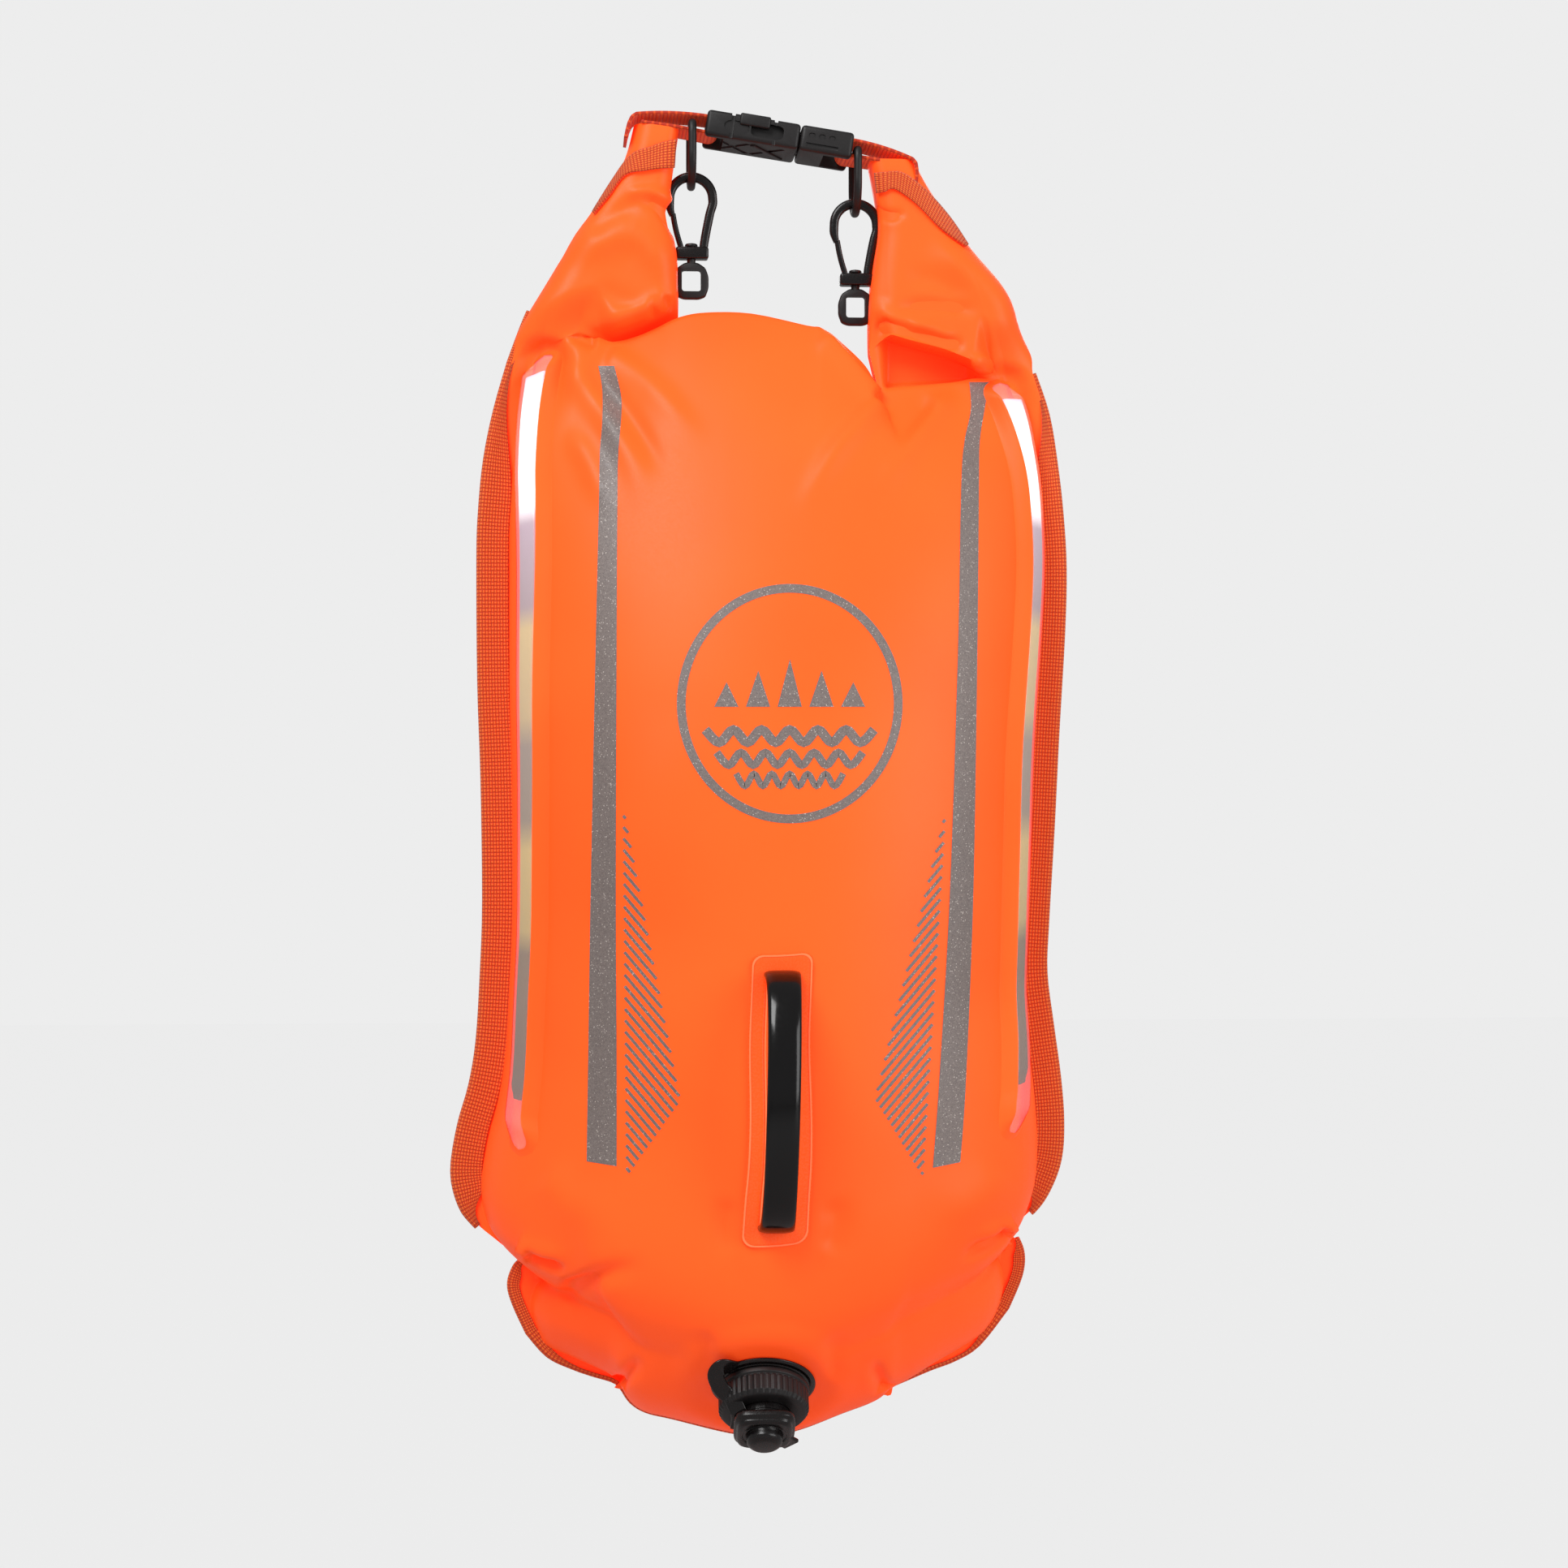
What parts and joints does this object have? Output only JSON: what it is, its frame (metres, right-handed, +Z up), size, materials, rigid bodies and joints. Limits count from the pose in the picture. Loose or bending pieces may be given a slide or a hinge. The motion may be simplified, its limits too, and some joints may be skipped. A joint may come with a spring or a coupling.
{
  "type": "open water swim buoy",
  "caption": "Inflatable tow float and roll-top dry bag hanging from its closed side-release buckle, with clip hooks, light tubes, a grab handle and a twist valve.",
  "frame": {"origin": "middle of the closed buckle's underside, where the loop hangs over a peg or a hand", "axes": "+Z up along the hanging bag, +X to its right as seen from the front, and the front with the handle and valve faces -Y"},
  "size_m": [0.3026, 0.2168, 0.6528],
  "materials": {
    "coated_fabric": "satin",
    "liner_fabric": "matte",
    "webbing": "matte",
    "black_plastic": "satin",
    "black_rubber": "matte",
    "clear_film": "gloss",
    "light_tube": "satin",
    "circuit_board": "satin",
    "plated_steel": "satin",
    "stiffener_strip": "matte"
  },
  "bodies": {
    "root": {"front_panel": "coated_fabric", "back_panel": "coated_fabric", "dry_liner": "liner_fabric", "side_webbing_left": "webbing", "side_webbing_right": "webbing", "bottom_binding": "webbing", "mouth_roll": "coated_fabric", "mouth_stiffener": "stiffener_strip", "roll_end_left": "coated_fabric", "shoulder_webbing_left": "webbing", "strap_left": "webbing", "buckle_socket": "black_plastic", "handle_patch": "coated_fabric", "handle_grip": "black_plastic", "light_tube_left": "light_tube", "light_tube_right": "light_tube", "light_board_left": "circuit_board", "light_board_right": "circuit_board", "light_cell_left": "plated_steel", "light_cell_right": "plated_steel", "window_left": "clear_film", "window_right": "clear_film", "valve_flange": "black_plastic", "valve_insert": "black_rubber", "valve_flap": "black_rubber", "valve_seal": "black_rubber", "valve_tether": "black_rubber"},
    "right_end": {"roll_end_right": "coated_fabric", "shoulder_webbing_right": "webbing", "strap_right": "webbing", "buckle_plug": "black_plastic"},
    "arm_front": {"plug_arm_front": "black_plastic"},
    "arm_back": {"plug_arm_back": "black_plastic"},
    "ring_left": {"d_ring_left": "black_plastic"},
    "ring_right": {"d_ring_right": "black_plastic"},
    "hook_left": {"snap_hook_left": "black_plastic"},
    "hook_right": {"snap_hook_right": "black_plastic"},
    "gate_left": {"hook_gate_left": "black_plastic"},
    "gate_right": {"hook_gate_right": "black_plastic"},
    "eye_left": {"strap_eye_left": "black_plastic"},
    "eye_right": {"strap_eye_right": "black_plastic"},
    "collar": {"valve_collar": "black_plastic"},
    "cap": {"valve_cap": "black_rubber"},
    "button_left": {"light_button_left": "black_rubber"},
    "button_right": {"light_button_right": "black_rubber"}
  },
  "joints": [
    {"name": "buckle_release", "type": "slide", "parent": "root", "child": "right_end", "axis": [0.989, 0, -0.1478], "range_m": [0, 0.026]},
    {"name": "arm_front_flex", "type": "hinge", "parent": "right_end", "child": "arm_front", "pos_m": [0.01088, -0.0133, 0.00467], "axis": [-0.1478, 0, -0.989], "range_deg": [0, 6], "stiffness_Nm_per_rad": 0.3},
    {"name": "arm_back_flex", "type": "hinge", "parent": "right_end", "child": "arm_back", "pos_m": [0.01088, 0.0133, 0.00467], "axis": [0.1478, 0, 0.989], "range_deg": [0, 6], "stiffness_Nm_per_rad": 0.3},
    {"name": "ring_left_swing", "type": "hinge", "parent": "root", "child": "ring_left", "pos_m": [-0.04133, 0, 0.01157], "axis": [0, 1, 0], "range_deg": [-25, 4]},
    {"name": "ring_right_swing", "type": "hinge", "parent": "right_end", "child": "ring_right", "pos_m": [0.03967, 0, -0.00054], "axis": [0, 1, 0], "range_deg": [-4, 20]},
    {"name": "hook_left_swing", "type": "hinge", "parent": "ring_left", "child": "hook_left", "pos_m": [-0.04133, 0, -0.01693], "axis": [0, 1, 0], "range_deg": [-15, 4]},
    {"name": "hook_right_swing", "type": "hinge", "parent": "ring_right", "child": "hook_right", "pos_m": [0.03967, 0, -0.02904], "axis": [0, 1, 0], "range_deg": [-4, 15]},
    {"name": "gate_left_open", "type": "hinge", "parent": "hook_left", "child": "gate_left", "pos_m": [-0.04683, 0, -0.04523], "axis": [0, 1, 0], "range_deg": [0, 20], "stiffness_Nm_per_rad": 0.02},
    {"name": "gate_right_open", "type": "hinge", "parent": "hook_right", "child": "gate_right", "pos_m": [0.03417, 0, -0.05734], "axis": [0, 1, 0], "range_deg": [0, 20], "stiffness_Nm_per_rad": 0.02},
    {"name": "eye_left_swivel", "type": "hinge", "parent": "hook_left", "child": "eye_left", "pos_m": [-0.04133, 0, -0.05293], "axis": [0, 0, 1], "continuous": true},
    {"name": "eye_right_swivel", "type": "hinge", "parent": "hook_right", "child": "eye_right", "pos_m": [0.03967, 0, -0.06504], "axis": [0, 0, 1], "continuous": true},
    {"name": "collar_turn", "type": "hinge", "parent": "root", "child": "collar", "pos_m": [-0.00929, -0.05323, -0.59578], "axis": [-0.0176, -0.649, -0.7606], "continuous": true},
    {"name": "cap_pull", "type": "slide", "parent": "root", "child": "cap", "axis": [-0.0176, -0.649, -0.7606], "range_m": [0, 0.012]},
    {"name": "button_left_press", "type": "slide", "parent": "root", "child": "button_left", "axis": [-0.1829, -0.2358, -0.9544], "range_m": [0, 0.001], "stiffness_N_per_m": 300},
    {"name": "button_right_press", "type": "slide", "parent": "root", "child": "button_right", "axis": [0.1597, -0.2431, -0.9568], "range_m": [0, 0.001], "stiffness_N_per_m": 300}
  ],
  "couplings": [
    {"joint": "arm_back_flex", "follows": "arm_front_flex", "ratio": 1}
  ]
}
